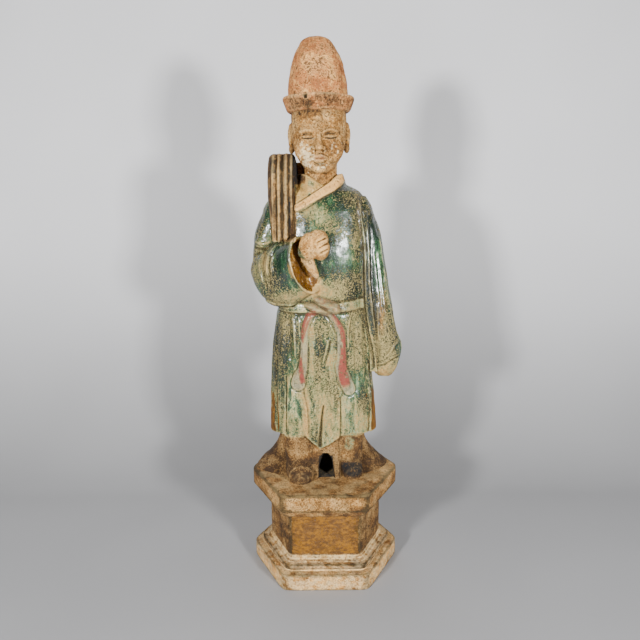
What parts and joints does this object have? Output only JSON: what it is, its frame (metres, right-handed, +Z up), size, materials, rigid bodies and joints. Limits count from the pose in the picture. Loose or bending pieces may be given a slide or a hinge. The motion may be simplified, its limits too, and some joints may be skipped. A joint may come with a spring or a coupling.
{
  "type": "sancai tomb attendant figure",
  "caption": "Glazed earthenware tomb attendant in a belted robe, cloth over one shoulder, hand raised to the chest, tall hat on a loose head, on a hexagonal pedestal.",
  "frame": {"origin": "centre of the pedestal's underside", "axes": "+Z up, the figure faces -Y, +X towards the viewer's right when facing the figure"},
  "size_m": [0.1371, 0.117, 0.46],
  "materials": {
    "glazed_robe": "worn mottled green lead glaze over buff clay, glossy where it survives",
    "bare_clay": "unglazed pinkish buff earthenware with traces of white pigment, matte"
  },
  "bodies": {
    "root": {"attendant_body": "glazed_robe", "head_and_hat": "bare_clay"}
  },
  "joints": []
}
